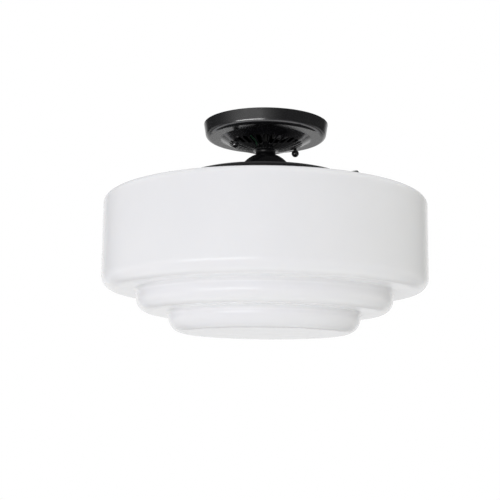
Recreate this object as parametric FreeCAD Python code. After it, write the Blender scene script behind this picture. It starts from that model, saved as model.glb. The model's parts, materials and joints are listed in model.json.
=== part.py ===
import FreeCAD, Part
import math
import os

# Semi flush ceiling light. Millimetres, +Z up, the ceiling is the plane z = 0,
# and everything hangs below it on the Z axis. +X is to the right of a person
# who faces +Y.

V = FreeCAD.Vector
UP = V(0, 0, 1)
CENTRE = V(0, 0, 0)

# Clearances
running_play = 0.3
thread_play = 0.1
seat_play = 0.2
over_cut = 1.0
shortest_edge = 0.0001
edge_tolerance = 0.01

# Crossbar and the studs that hold the canopy
bar_azimuth = 30.0
bar_width = 19.0
bar_thickness = 2.0
bar_end_margin = 7.5
box_screw_spacing = 69.85
box_screw_hole_radius = 2.4
stud_spacing = 88.9
stud_radius = 2.08
stud_nut_flats = 8.7
stud_nut_height = 3.2
ball_radius = 4.76
stud_grip = 6.5
earth_screw_offset = 22.0
earth_screw_radius = 1.7
earth_head_radius = 3.6
earth_head_height = 2.5
earth_slot_width = 0.8
earth_slot_depth = 0.7

# Terminal block
block_offset = 14.0
block_length = 16.0
block_width = 17.0
block_height = 11.0
block_edge_radius = 1.0
block_pole_spacing = 9.0
block_port_radius = 1.3
block_port_depth = 4.0
block_peg_radius = 1.8
clamp_screw_radius = 2.0
clamp_screw_length = 3.7
clamp_screw_stand = 0.8
clamp_slot_width = 0.6
clamp_slot_depth = 0.5

# Canopy
canopy_radius = 79.4
canopy_wall_depth = 18.4
canopy_wall_lean = 3.0
canopy_depth = 34.2
canopy_sheet = 1.0
canopy_edge_radius = 6.5
canopy_crease_radius = 4.0
canopy_dome_radius = 108.0
canopy_flat_radius = 13.5
vent_count = 30
vent_share = 0.74
vent_inner_radius = 16.0
vent_outer_radius = 47.0

# Hollow threaded stem and what it clamps
stem_radius = 5.14
stem_bore_radius = 3.6
stem_top_stand = 4.2
stem_foot_stand = 7.6
nut_flats = 17.0
nut_height = 5.0
washer_radius = 11.0
washer_thickness = 1.2
lug_radius = 9.0
lug_thickness = 0.8
lug_tab_reach = 16.5
lug_tab_width = 6.0
neck_end_radius = 13.6
neck_waist_radius = 12.6
neck_height = 5.2

# Domed cap and gallery that carry the glass
dome_radius = 37.0
dome_sheet = 1.2
dome_skirt = 1.0
gallery_drop = 73.0
gallery_radius = 107.0
gallery_sheet = 1.2
gallery_depth = 18.0
gallery_corner_radius = 3.0
gallery_bead_radius = 1.2
gallery_nut_flats = 19.0
lip_side_gap = 4.2

# Thumbscrews and their bushes
screw_azimuths = (-33.0, 87.0, 207.0)
screw_names = ("thumbscrew_right", "thumbscrew_back", "thumbscrew_left")
screw_drop = 7.9
screw_radius = 2.08
screw_point_radius = 1.25
screw_point_length = 0.85
screw_shank_length = 22.0
screw_head_radius = 5.5
screw_head_length = 10.0
screw_flute_count = 16
screw_flute_radius = 0.6
screw_collar_length = 1.5
screw_collar_radius = 3.6
bush_radius = 5.0
bush_length = 5.0
bush_waist_radius = 3.9
bush_flange_radius = 4.6
bush_flange_thickness = 0.8
bush_flange_play = 0.02

# Glass shade, measured outside
glass = 4.0
shade_radius = 203.0
drum_depth = 117.7
drum_corner = 17.0
middle_tier_radius = 159.6
middle_tier_depth = 26.4
middle_corner = 16.2
lower_tier_radius = 119.5
lower_tier_depth = 24.6
lower_corner = 19.6
step_radius = 4.5
shoulder_reach = 16.2
shoulder_rise = 10.7
crown_slope = 4.0
shade_neck_height = 24.1
shade_root_radius = 4.0
lip_flare = 2.6
lip_gap = 0.6
lip_face = 1.5
lip_slope_height = 3.8
lip_edge_radius = 0.6

# Lampholder
holder_hub_radius = 8.5
holder_hub_straight = 5.6
holder_hub_edge_radius = 0.8
holder_radius = 19.0
holder_wall = 2.0
holder_cap_height = 22.6
holder_cone_height = 9.0
holder_cone_top_radius = 3.0
holder_cone_foot_radius = 4.0
holder_cone_inner_drop = 0.3
holder_cone_inner_radius = 2.0
holder_cap_ledge = 2.0
holder_base_thickness = 7.0
holder_recess = 2.0
holder_sleeve_length = 31.0
holder_sleeve_bore_radius = 15.2
holder_rim_radius = 1.5
shell_bore_radius = 13.45
shell_wall = 0.6
shell_length = 26.0
shell_window_radius = 8.0
contact_radius = 4.0
contact_height = 3.0
contact_disc_thickness = 0.75
contact_stud_radius = 2.4
contact_end_radius = 2.0
terminal_offset = 10.5
terminal_head_radius = 3.2
terminal_head_height = 2.2
terminal_shank_radius = 1.7
terminal_shank_length = 5.0

# Lamp
lamp_cap_radius = 13.0
lamp_cap_wall = 0.5
lamp_cap_length = 26.2
lamp_tip_radius = 3.0
lamp_tip_height = 1.2
lamp_insulator_radius = 8.5
lamp_insulator_height = 2.7
lamp_cap_cone_height = 2.4
lamp_cap_edge_radius = 1.0
lamp_neck_inset = 9.0
lamp_glass = 0.8
lamp_radius = 30.0
lamp_bottom_flat = 0.1
lamp_neck_length = 5.0
lamp_neck_curve = 10.0
lamp_flare_height = 28.0
lamp_flare_curve = 25.0
lamp_length = 108.0

# Wires
wire_radius = 1.0
wire_spacing = 2.7
wire_turn_radius = 5.0
wire_port_turn_radius = 3.0
wire_end_play = 0.1
wire_lead = 2.5
wire_dip = 1.0

# Bends of the earth wire: along the bar, across it, up, and the turn's radius. The
# first is measured from its end at the screw, the others from the middle height
# between its two ends, over the lug's tab.
earth_wire_bends = ((0.0, 8.7, -1.2, 5.0), (-1.5, 10.0, 2.5, 5.5), (0.0, 0.0, -5.5, 6.0))


# Radii and heights worked out from the sizes above
lip_radius = gallery_radius - gallery_sheet - lip_side_gap
shade_neck_radius = lip_radius - lip_flare
bar_underside = -bar_thickness
canopy_wall_foot = -canopy_wall_depth
canopy_floor = -canopy_depth
canopy_floor_inside = canopy_floor + canopy_sheet
washer_top = canopy_floor_inside + washer_thickness
lug_top = washer_top + lug_thickness
top_nut_top = lug_top + nut_height
stem_top = top_nut_top + stem_top_stand
neck_foot = canopy_floor - neck_height
gallery_top = -gallery_drop
gallery_underside = gallery_top - gallery_sheet
gallery_washer_foot = gallery_underside - washer_thickness
gallery_nut_foot = gallery_washer_foot - nut_height
stem_foot = gallery_nut_foot - stem_foot_stand
screw_height = gallery_top - screw_drop
lip_top = gallery_underside - lip_gap
drum_top = lip_top - shade_neck_height
drum_foot = drum_top - drum_depth
middle_foot = drum_foot - middle_tier_depth
lower_foot = middle_foot - lower_tier_depth
holder_rim_top = gallery_nut_foot - holder_cap_height
holder_base_top = holder_rim_top + holder_base_thickness - holder_recess
holder_base_foot = holder_rim_top - holder_recess
holder_mouth = holder_rim_top - holder_sleeve_length
contact_foot = holder_base_foot - contact_height
lamp_top = contact_foot - running_play
lamp_cap_foot = lamp_top - lamp_cap_length
lamp_foot = lamp_top - lamp_length
stem_hole_radius = stem_radius + seat_play


def arc(start, middle, end):
    """A circular edge through three points."""
    return Part.Arc(start, middle, end).toShape()


def fillet_path(points):
    """Edges of an open path in the XZ plane. Each point is (r, z, fillet radius),
    and the two end points have no fillet. Fillets are tangent arcs."""
    edges = []
    place = V(points[0][0], 0, points[0][1])
    for before, corner, after in zip(points, points[1:], points[2:]):
        tip = V(corner[0], 0, corner[1])
        back = (V(before[0], 0, before[1]) - tip).normalize()
        ahead = (V(after[0], 0, after[1]) - tip).normalize()
        if corner[2] <= 0:
            edges.append(Part.makeLine(place, tip))
            place = tip
            continue
        half = back.getAngle(ahead) / 2
        leg = corner[2] / math.tan(half)
        middle_way = (back + ahead).normalize()
        centre = tip + middle_way * (corner[2] / math.sin(half))
        start = tip + back * leg
        end = tip + ahead * leg
        if (start - place).Length > shortest_edge:
            edges.append(Part.makeLine(place, start))
        edges.append(arc(start, centre - middle_way * corner[2], end))
        place = end
    last = V(points[-1][0], 0, points[-1][1])
    if (last - place).Length > shortest_edge:
        edges.append(Part.makeLine(place, last))
    return edges


def revolved(edges):
    """The solid that a closed outline in the XZ plane sweeps about the Z axis."""
    wire = Part.Wire(Part.__sortEdges__(edges))
    return Part.Face(wire).revolve(CENTRE, UP, 360)


def turned_profile(points):
    """A revolved solid from one closed list of (r, z, fillet radius)."""
    return revolved(fillet_path(list(points) + [points[0]]))


def cylinder(radius, low, high, x=0.0, y=0.0):
    return Part.makeCylinder(radius, high - low, V(x, y, low))


def ring(outer, inner, low, high):
    return cylinder(outer, low, high).cut(cylinder(inner, low - over_cut, high + over_cut))


def hex_nut(flats, bore, low, high, x=0.0):
    """A hexagonal nut with its top corners chamfered at 45 degrees."""
    corner_radius = flats / math.sqrt(3)
    corners = [V(x + corner_radius * math.cos(math.radians(60 * k)),
                 corner_radius * math.sin(math.radians(60 * k)), low) for k in range(7)]
    prism = Part.Face(Part.makePolygon(corners)).extrude(V(0, 0, high - low))
    chamfer = corner_radius - flats / 2
    envelope = Part.makeCone(corner_radius, flats / 2, chamfer, V(x, 0, high - chamfer))
    envelope = envelope.fuse(cylinder(flats, low, high - chamfer, x))
    return prism.common(envelope).cut(cylinder(bore, low - over_cut, high + over_cut, x))


def slotted(screw, x, y, head_foot, head_radius, slot_width, slot_depth):
    """Cuts a driver slot into the underside of a screw's head."""
    slot = Part.makeBox(2 * head_radius + 2 * over_cut, slot_width, slot_depth + over_cut,
                        V(x - head_radius - over_cut, y - slot_width / 2, head_foot - over_cut))
    return screw.cut(slot)


def about_axis(shape, azimuth):
    """A copy of the shape turned about the Z axis."""
    copy = shape.copy()
    copy.rotate(CENTRE, UP, azimuth)
    return copy


def along_bar(shape):
    return about_axis(shape, bar_azimuth)


def save(node, solids):
    """Writes one node and prints what it holds."""
    shape = solids[0] if len(solids) == 1 else Part.makeCompound(solids)
    shape.exportStep("parts/" + node + ".step")
    box = shape.BoundBox
    print("%-22s solids %d valid %s volume %9.1f z %8.2f to %7.2f" % (
        node, len(shape.Solids), shape.isValid(), shape.Volume, box.ZMin, box.ZMax))


# Crossbar, studs and the electrical parts above the canopy floor

def crossbar():
    """A flat steel bar against the ceiling, with two round ends."""
    half = stud_spacing / 2 + bar_end_margin
    straight = half - bar_width / 2
    bar = Part.makeBox(2 * straight, bar_width, bar_thickness, V(-straight, -bar_width / 2, bar_underside))
    for side in (-1, 1):
        bar = bar.fuse(cylinder(bar_width / 2, bar_underside, 0, side * straight))
    places = [(stem_hole_radius, 0), (earth_screw_radius + thread_play, -earth_screw_offset),
              (block_peg_radius + thread_play, block_offset + block_length / 2)]
    for side in (-1, 1):
        places.append((stud_radius + thread_play, side * stud_spacing / 2))
        places.append((box_screw_hole_radius, side * box_screw_spacing / 2))
    holes = [cylinder(radius, bar_underside - over_cut, over_cut, x) for radius, x in places]
    return along_bar(bar.cut(Part.makeCompound(holes)).removeSplitter())


def dome_height(radius, inset):
    """Height of the canopy's domed underside at one radius, moved inwards by inset."""
    sphere_centre = canopy_floor + math.sqrt(canopy_dome_radius ** 2 - canopy_flat_radius ** 2)
    return sphere_centre - math.sqrt((canopy_dome_radius - inset) ** 2 - radius ** 2)


def ball_height():
    """Centre of a ball nut that lies just clear of the sloping underside."""
    slope = math.asin(stud_spacing / 2 / canopy_dome_radius)
    return dome_height(stud_spacing / 2, 0) - (ball_radius + running_play) / math.cos(slope)


def stud_foot():
    return ball_height() + ball_radius - stud_grip - running_play


def crossbar_studs():
    return [along_bar(cylinder(stud_radius, stud_foot(), 0, side * stud_spacing / 2)) for side in (-1, 1)]


def stud_nuts():
    low = bar_underside - stud_nut_height
    return [along_bar(hex_nut(stud_nut_flats, stud_radius + thread_play, low, bar_underside,
                              side * stud_spacing / 2)) for side in (-1, 1)]


def ball_nut(side):
    """A ball with a blind threaded bore, open upwards."""
    x = side * stud_spacing / 2
    middle = ball_height()
    ball = Part.makeSphere(ball_radius, V(x, 0, middle))
    bore = cylinder(stud_radius + running_play, stud_foot() - running_play, middle + ball_radius, x)
    return along_bar(ball.cut(bore))


def earth_screw():
    head_foot = bar_underside - earth_head_height
    screw = cylinder(earth_head_radius, head_foot, bar_underside, -earth_screw_offset)
    shank = cylinder(earth_screw_radius, bar_underside, 0, -earth_screw_offset)
    screw = slotted(screw.fuse(shank), -earth_screw_offset, 0, head_foot, earth_head_radius,
                    earth_slot_width, earth_slot_depth)
    return along_bar(screw)


def port_height():
    return bar_underside - block_height / 2


def terminal_block():
    """A two pole block with a snap peg through the crossbar."""
    block = Part.makeBox(block_length, block_width, block_height,
                         V(block_offset, -block_width / 2, bar_underside - block_height))
    upright = [edge for edge in block.Edges if edge.BoundBox.ZLength > block_height / 2]
    block = block.makeFillet(block_edge_radius, upright)
    block = block.fuse(cylinder(block_peg_radius, bar_underside, 0, block_offset + block_length / 2))
    cuts = []
    block_foot = bar_underside - block_height
    screw_end = block_foot + clamp_screw_length - clamp_screw_stand
    for side in (-1, 1):
        y = side * block_pole_spacing / 2
        cuts.append(Part.makeCylinder(block_port_radius, block_port_depth + over_cut,
                                      V(block_offset - over_cut, y, port_height()), V(1, 0, 0)))
        cuts.append(cylinder(clamp_screw_radius + thread_play, block_foot - over_cut, screw_end,
                             block_offset + block_length / 2, y))
    return along_bar(block.cut(Part.makeCompound(cuts)))


def terminal_screws():
    screws = []
    low = bar_underside - block_height - clamp_screw_stand
    clamp_x = block_offset + block_length / 2
    for side in (-1, 1):
        y = side * block_pole_spacing / 2
        screw = cylinder(clamp_screw_radius, low, low + clamp_screw_length, clamp_x, y)
        screws.append(along_bar(slotted(screw, clamp_x, y, low, clamp_screw_radius,
                                        clamp_slot_width, clamp_slot_depth)))
    return screws


# Canopy

def canopy_outline(inset):
    """The sheet's face from the ceiling to the flat floor, moved inwards by inset.
    Wall, rounded edge, flat ring, crease and dome follow each other tangent
    everywhere but at the floor."""
    lean = canopy_wall_lean / canopy_wall_depth
    wall_inset = inset * math.sqrt(1 + lean ** 2)
    ring_height = canopy_wall_foot + inset
    wall_foot_radius = canopy_radius - wall_inset + lean * ring_height
    sphere_centre = canopy_floor + math.sqrt(canopy_dome_radius ** 2 - canopy_flat_radius ** 2)
    crease_radius = canopy_crease_radius + inset
    crease_height = ring_height - crease_radius
    crease_reach = math.sqrt((canopy_dome_radius + canopy_crease_radius) ** 2
                             - (sphere_centre - crease_height) ** 2)
    edges = fillet_path([(canopy_radius - wall_inset, 0, 0),
                         (wall_foot_radius, ring_height, canopy_edge_radius - inset),
                         (crease_reach, ring_height, 0)])
    crease_centre = V(crease_reach, 0, crease_height)
    to_dome = (V(0, 0, sphere_centre) - crease_centre).normalize()
    dome_start = crease_centre + to_dome * crease_radius
    crease_middle = crease_centre + (to_dome + UP).normalize() * crease_radius
    edges.append(arc(V(crease_reach, 0, ring_height), crease_middle, dome_start))
    floor = canopy_floor + inset
    floor_radius = math.sqrt((canopy_dome_radius - inset) ** 2 - (sphere_centre - floor) ** 2)
    half_way = (dome_start.x + floor_radius) / 2
    edges.append(arc(dome_start, V(half_way, 0, dome_height(half_way, inset)),
                          V(floor_radius, 0, floor)))
    edges.append(Part.makeLine(V(floor_radius, 0, floor), V(stem_hole_radius, 0, floor)))
    return edges


def vent_slot(azimuth):
    """A radial slot with sides that point at the axis."""
    half = math.radians(360 / vent_count * vent_share / 2)
    corners = []
    for radius in (vent_inner_radius, vent_outer_radius):
        for turn in (-half, 0, half):
            corners.append(V(radius * math.cos(turn), radius * math.sin(turn), canopy_floor - over_cut))
    edges = [arc(*corners[:3]), Part.makeLine(corners[2], corners[5]),
             arc(corners[5], corners[4], corners[3]), Part.makeLine(corners[3], corners[0])]
    prism = Part.Face(Part.Wire(edges)).extrude(V(0, 0, canopy_depth - canopy_wall_depth + over_cut))
    return about_axis(prism, azimuth)


def canopy():
    """The pressed steel cover. Two places in the ring of vent slots stay plain for
    the studs."""
    rim = Part.makeLine(V(canopy_radius, 0, 0),
                        V(canopy_outline(canopy_sheet)[0].Vertexes[0].Point))
    hole_wall = Part.makeLine(V(stem_hole_radius, 0, canopy_floor),
                              V(stem_hole_radius, 0, canopy_floor_inside))
    body = revolved(canopy_outline(0) + canopy_outline(canopy_sheet) + [rim, hole_wall])
    cuts = []
    for k in range(vent_count):
        if k % (vent_count // 2):
            cuts.append(vent_slot(bar_azimuth + k * 360 / vent_count))
    for side in (-1, 1):
        hole = cylinder(stud_radius + running_play, canopy_floor, canopy_wall_foot, side * stud_spacing / 2)
        cuts.append(along_bar(hole))
    return body.cut(Part.makeCompound(cuts))


# Stem and what it clamps

def stem():
    return ring(stem_radius, stem_bore_radius, stem_foot, stem_top)


def earth_lug():
    """A ring under the top nut, with a tab for the earth wire."""
    disc = cylinder(lug_radius, washer_top, lug_top)
    tab = Part.makeBox(lug_tab_reach, lug_tab_width, lug_thickness,
                       V(-lug_tab_reach, -lug_tab_width / 2, washer_top))
    lug = disc.fuse(tab).cut(cylinder(stem_hole_radius, washer_top - over_cut, lug_top + over_cut))
    return along_bar(lug.removeSplitter())


def neck_ring():
    """A waisted spacer between the canopy and the domed cap."""
    top = V(neck_end_radius, 0, canopy_floor)
    waist = V(neck_waist_radius, 0, (canopy_floor + neck_foot) / 2)
    foot = V(neck_end_radius, 0, neck_foot)
    bore_foot = V(stem_hole_radius, 0, neck_foot)
    bore_top = V(stem_hole_radius, 0, canopy_floor)
    return revolved([arc(top, waist, foot), Part.makeLine(foot, bore_foot),
                     Part.makeLine(bore_foot, bore_top), Part.makeLine(bore_top, top)])


def dome_cap():
    """A spun half ball with a flat crown under the neck ring and an open foot on
    the gallery."""
    crown = neck_foot
    foot = gallery_top
    middle = foot - dome_skirt
    arcs = []
    for radius, top in ((dome_radius, crown), (dome_radius - dome_sheet, crown - dome_sheet)):
        crown_edge = V(math.sqrt(radius ** 2 - (top - middle) ** 2), 0, top)
        foot_edge = V(math.sqrt(radius ** 2 - dome_skirt ** 2), 0, foot)
        to_middle = (crown_edge + foot_edge - V(0, 0, 2 * middle)).normalize() * radius
        arcs.append((crown_edge, V(0, 0, middle) + to_middle, foot_edge))
    outer, inner = arcs
    hole_top = V(stem_hole_radius, 0, crown)
    hole_foot = V(stem_hole_radius, 0, crown - dome_sheet)
    return revolved([Part.makeLine(hole_top, outer[0]), arc(*outer),
                     Part.makeLine(outer[2], inner[2]), arc(*inner),
                     Part.makeLine(inner[0], hole_foot), Part.makeLine(hole_foot, hole_top)])


def radial(shape, azimuth):
    """Turns a shape drawn along +X at z = 0 to one screw's place and height."""
    copy = about_axis(shape, azimuth)
    copy.translate(V(0, 0, screw_height))
    return copy


def bar_x(radius, start, end):
    return Part.makeCylinder(radius, end - start, V(start, 0, 0), V(1, 0, 0))


def gallery():
    """A shallow pan, open downwards, with a rolled bead on its skirt."""
    inner = gallery_radius - gallery_sheet
    bead_reach = gallery_radius - gallery_sheet / 2
    bead_height = gallery_top - gallery_depth
    bead_rise = math.sqrt(gallery_bead_radius ** 2 - (gallery_sheet / 2) ** 2)
    skirt_foot = bead_height + bead_rise
    edges = fillet_path([(stem_hole_radius, gallery_underside, 0), (stem_hole_radius, gallery_top, 0),
                         (gallery_radius, gallery_top, gallery_corner_radius),
                         (gallery_radius, skirt_foot, 0)])
    edges.append(arc(V(gallery_radius, 0, skirt_foot),
                          V(bead_reach, 0, bead_height - gallery_bead_radius), V(inner, 0, skirt_foot)))
    edges += fillet_path([(inner, skirt_foot, 0),
                          (inner, gallery_underside, gallery_corner_radius - gallery_sheet),
                          (stem_hole_radius, gallery_underside, 0)])
    hole = bar_x(bush_waist_radius + thread_play, inner - over_cut, gallery_radius + over_cut)
    return revolved(edges).cut(Part.makeCompound([radial(hole, a) for a in screw_azimuths]))


def gallery_bushes():
    """Three threaded bushes riveted through the skirt."""
    inner = gallery_radius - gallery_sheet
    flange_back = math.sqrt(inner ** 2 - bush_flange_radius ** 2) - bush_flange_play
    flange_front = flange_back - bush_flange_thickness
    bush = bar_x(bush_radius, gallery_radius, gallery_radius + bush_length)
    bush = bush.fuse(bar_x(bush_waist_radius, flange_back, gallery_radius))
    bush = bush.fuse(bar_x(bush_flange_radius, flange_front, flange_back))
    bore = bar_x(screw_radius + running_play, flange_front - over_cut, gallery_radius + bush_length + over_cut)
    bush = bush.cut(bore).removeSplitter()
    return [radial(bush, azimuth) for azimuth in screw_azimuths]


def screw_tip_reach():
    """How far the tips stay from the axis: just clear of the sloping underside of
    the glass lip at the height of the screw's upper side."""
    slope_foot = lip_top - lip_face - lip_slope_height
    slope = lip_flare / lip_slope_height
    overlap = max(0, screw_height + screw_radius - slope_foot)
    return shade_neck_radius + slope * overlap + running_play


def thumbscrew(azimuth):
    """A fluted thumbscrew that points at the axis."""
    tip = screw_tip_reach()
    head = tip + screw_shank_length
    end = head + screw_head_length
    screw = Part.makeCone(screw_point_radius, screw_radius, screw_point_length, V(tip, 0, 0), V(1, 0, 0))
    screw = screw.fuse(bar_x(screw_radius, tip + screw_point_length, head))
    grip = bar_x(screw_head_radius, head + screw_collar_length, end)
    rims = [edge for edge in grip.Edges if edge.BoundBox.XLength < edge_tolerance]
    grip = grip.makeChamfer(screw_flute_radius, rims)
    flutes = []
    for k in range(screw_flute_count):
        angle = 2 * math.pi * k / screw_flute_count
        place = V(head, screw_head_radius * math.cos(angle), screw_head_radius * math.sin(angle))
        flutes.append(Part.makeCylinder(screw_flute_radius, screw_head_length + over_cut, place, V(1, 0, 0)))
    grip = grip.cut(Part.makeCompound(flutes))
    screw = screw.fuse(bar_x(screw_collar_radius, head, head + screw_collar_length))
    return radial(screw.fuse(grip).removeSplitter(), azimuth)


# Glass shade

def shoulder_arc(reach, rise, wall_radius, top):
    """The elliptical shoulder from the crown's slope to the upright wall. Returns the
    edge, its end on the crown and its end on the wall."""
    centre = V(wall_radius - reach, 0, top - rise)
    crown_angle = math.atan2(rise / reach, math.tan(math.radians(crown_slope)))
    crown_end = centre + V(reach * math.cos(crown_angle), 0, rise * math.sin(crown_angle))
    wall_top = centre + V(reach, 0, 0)
    ellipse = Part.Ellipse(wall_top, centre + V(0, 0, rise), centre)
    first = ellipse.parameter(crown_end)
    last = ellipse.parameter(wall_top)
    low, high = min(first, last), max(first, last)
    if high - low > math.pi:
        low, high = high, low + 2 * math.pi
    return Part.ArcOfEllipse(ellipse, low, high).toShape(), crown_end, wall_top


def shade_side(inset):
    """One face of the glass, from the neck to the axis, moved inwards by inset."""
    slope = math.tan(math.radians(crown_slope))
    top = drum_top - inset
    wall = shade_radius - inset
    shoulder, crown_end, wall_top = shoulder_arc(shoulder_reach - inset, shoulder_rise - inset, wall, top)
    neck = shade_neck_radius - inset
    root = crown_end.z + (crown_end.x - neck) * slope
    root_fillet = shade_root_radius + inset
    lip_slope_foot = lip_top - lip_face - lip_slope_height
    edges = fillet_path([(neck, lip_slope_foot, 0), (neck, root, root_fillet), (crown_end.x, crown_end.z, 0)])
    edges.append(shoulder)
    edges += fillet_path([(wall, wall_top.z, 0), (wall, drum_foot + inset, drum_corner - inset),
                          (middle_tier_radius - inset, drum_foot + inset, step_radius + inset),
                          (middle_tier_radius - inset, middle_foot + inset, middle_corner - inset),
                          (lower_tier_radius - inset, middle_foot + inset, step_radius + inset),
                          (lower_tier_radius - inset, lower_foot + inset, lower_corner - inset),
                          (0, lower_foot + inset, 0)])
    return edges


def glass_shade():
    """Blown opal glass: a drum over two smaller tiers, with a flared lip."""
    slope_foot = lip_top - lip_face - lip_slope_height
    bore = shade_neck_radius - glass
    lip = fillet_path([(shade_neck_radius, slope_foot, 0), (lip_radius, lip_top - lip_face, lip_edge_radius),
                       (lip_radius, lip_top, lip_edge_radius), (bore, lip_top, lip_edge_radius),
                       (bore, slope_foot, 0)])
    axis = Part.makeLine(V(0, 0, lower_foot), V(0, 0, lower_foot + glass))
    return revolved(lip + shade_side(0) + shade_side(glass) + [axis])


# Lampholder

def holder_cap():
    """The cap that screws on the stem and traps the base."""
    top = gallery_nut_foot
    cone_top = top - holder_hub_straight
    cone_foot = cone_top - holder_cone_height
    inside = holder_radius - holder_wall
    ledge = inside - holder_cap_ledge
    bore = stem_radius + thread_play
    return turned_profile([(bore, top, 0), (holder_hub_radius, top, holder_hub_edge_radius),
                           (holder_hub_radius, cone_top, holder_cone_top_radius),
                           (holder_radius, cone_foot, holder_cone_foot_radius),
                           (holder_radius, holder_rim_top, 0), (inside, holder_rim_top, 0),
                           (inside, holder_base_top, 0), (ledge, holder_base_top, 0),
                           (ledge, cone_foot - holder_cone_inner_drop, holder_cone_inner_radius),
                           (bore, stem_foot, 0)])


def holder_base():
    """The insulating disc that carries the contacts."""
    disc = cylinder(holder_radius - holder_wall - seat_play, holder_base_foot, holder_base_top)
    hole_foot = holder_base_top - terminal_shank_length - running_play
    holes = [cylinder(terminal_shank_radius + thread_play, hole_foot, holder_base_top + over_cut,
                      0, side * terminal_offset) for side in (-1, 1)]
    return along_bar(disc.cut(Part.makeCompound(holes)))


def holder_terminals():
    screws = []
    for side in (-1, 1):
        y = side * terminal_offset
        head = cylinder(terminal_head_radius, holder_base_top, holder_base_top + terminal_head_height, 0, y)
        shank = cylinder(terminal_shank_radius, holder_base_top - terminal_shank_length, holder_base_top, 0, y)
        screws.append(along_bar(head.fuse(shank)))
    return screws


def holder_sleeve():
    """The glazed sleeve round the screw shell."""
    inside = holder_radius - holder_wall
    return turned_profile([(holder_radius, holder_rim_top, 0), (inside, holder_rim_top, 0),
                           (inside, holder_base_foot, 0), (holder_sleeve_bore_radius, holder_base_foot, 0),
                           (holder_sleeve_bore_radius, holder_mouth, holder_rim_radius),
                           (holder_radius, holder_mouth, holder_rim_radius)])


def screw_shell():
    """The brass shell that the lamp's cap screws into."""
    outer = shell_bore_radius + shell_wall
    return turned_profile([(shell_window_radius, holder_base_foot, 0), (outer, holder_base_foot, 0),
                           (outer, holder_base_foot - shell_length, 0),
                           (shell_bore_radius, holder_base_foot - shell_length, 0),
                           (shell_bore_radius, holder_base_foot - shell_wall, 0),
                           (shell_window_radius, holder_base_foot - shell_wall, 0)])


def centre_contact():
    step = holder_base_foot - contact_disc_thickness
    return turned_profile([(0, holder_base_foot, 0), (contact_radius, holder_base_foot, 0),
                           (contact_radius, step, 0), (contact_stud_radius, step, 0),
                           (contact_end_radius, contact_foot, 0), (0, contact_foot, 0)])


# Lamp

def lamp_tip():
    return cylinder(lamp_tip_radius, lamp_top - lamp_tip_height, lamp_top)


def lamp_insulator():
    top = lamp_top - lamp_tip_height
    return Part.makeCone(lamp_insulator_radius, lamp_tip_radius, lamp_insulator_height,
                         V(0, 0, top - lamp_insulator_height))


def lamp_cap():
    """A thin cup, open downwards, that holds the lamp's neck."""
    top = lamp_top - lamp_tip_height - lamp_insulator_height
    shoulder = top - lamp_cap_cone_height
    inner = lamp_cap_radius - lamp_cap_wall
    return turned_profile([(0, top, 0), (lamp_insulator_radius, top, 0),
                           (lamp_cap_radius, shoulder, lamp_cap_edge_radius),
                           (lamp_cap_radius, lamp_cap_foot, 0), (inner, lamp_cap_foot, 0),
                           (inner, shoulder - lamp_cap_wall, lamp_cap_edge_radius - lamp_cap_wall),
                           (0, shoulder - lamp_cap_wall, 0)])


def lamp_side(inset):
    neck = lamp_cap_radius - lamp_cap_wall - thread_play - inset
    top = lamp_cap_foot + lamp_neck_inset
    flare_top = lamp_cap_foot - lamp_neck_length
    bulge = lamp_radius - inset
    bottom = lamp_foot + inset
    return fillet_path([(neck, top, 0), (neck, flare_top, lamp_neck_curve + inset),
                        (bulge, flare_top - lamp_flare_height, lamp_flare_curve - inset),
                        (bulge, bottom, bulge - lamp_bottom_flat), (0, bottom, 0)])


def lamp_globe():
    """A frosted pear shaped envelope."""
    outer = lamp_side(0)
    inner = lamp_side(lamp_glass)
    rim = Part.makeLine(outer[0].Vertexes[0].Point, inner[0].Vertexes[0].Point)
    axis = Part.makeLine(V(0, 0, lamp_foot), V(0, 0, lamp_foot + lamp_glass))
    return revolved(outer + inner + [rim, axis])


# Wires inside the light

def wire_tube(points, turns):
    """A round wire along straight runs joined by tangent arcs. One radius in turns
    for each inner point."""
    edges = []
    place = points[0]
    for before, corner, after, radius in zip(points, points[1:], points[2:], turns):
        back = (before - corner).normalize()
        ahead = (after - corner).normalize()
        half = back.getAngle(ahead) / 2
        leg = radius / math.tan(half)
        middle_way = (back + ahead).normalize()
        centre = corner + middle_way * (radius / math.sin(half))
        start = corner + back * leg
        edges.append(Part.makeLine(place, start))
        edges.append(arc(start, centre - middle_way * radius, corner + ahead * leg))
        place = corner + ahead * leg
    edges.append(Part.makeLine(place, points[-1]))
    path = Part.Wire(edges)
    end = Part.Wire(Part.makeCircle(wire_radius, points[0], points[1] - points[0]))
    return along_bar(path.makePipeShell([end], True, True))


def supply_wire(side):
    """From a port of the terminal block, down through the stem, to a terminal of the
    lampholder."""
    y = side * wire_spacing / 2
    start = V(block_offset + block_port_depth - wire_end_play, side * block_pole_spacing / 2, port_height())
    mouth = V(block_offset - wire_lead, side * block_pole_spacing / 2, port_height())
    over_stem = V(0, y, port_height() - wire_dip)
    end_height = holder_base_top + wire_radius + wire_end_play
    low = V(0, y, end_height)
    end = V(0, side * (terminal_offset - terminal_head_radius - wire_end_play), end_height)
    half_run = (over_stem - mouth).Length / 2
    return wire_tube([start, mouth, over_stem, low, end],
                     [wire_port_turn_radius, half_run, wire_turn_radius])


def earth_wire():
    """From the side of the earth screw's head, down to the lug's tab."""
    start = V(-earth_screw_offset, earth_head_radius + seat_play, bar_underside - earth_head_height / 2)
    end = V(lug_tab_width / 2 - lug_tab_reach, 0, lug_top)
    middle = V(end.x, 0, (start.z + end.z) / 2)
    bends = [base + V(*bend[:3]) for base, bend in zip((start, middle, middle), earth_wire_bends)]
    return wire_tube([start] + bends + [end], [bend[3] for bend in earth_wire_bends])


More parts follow.
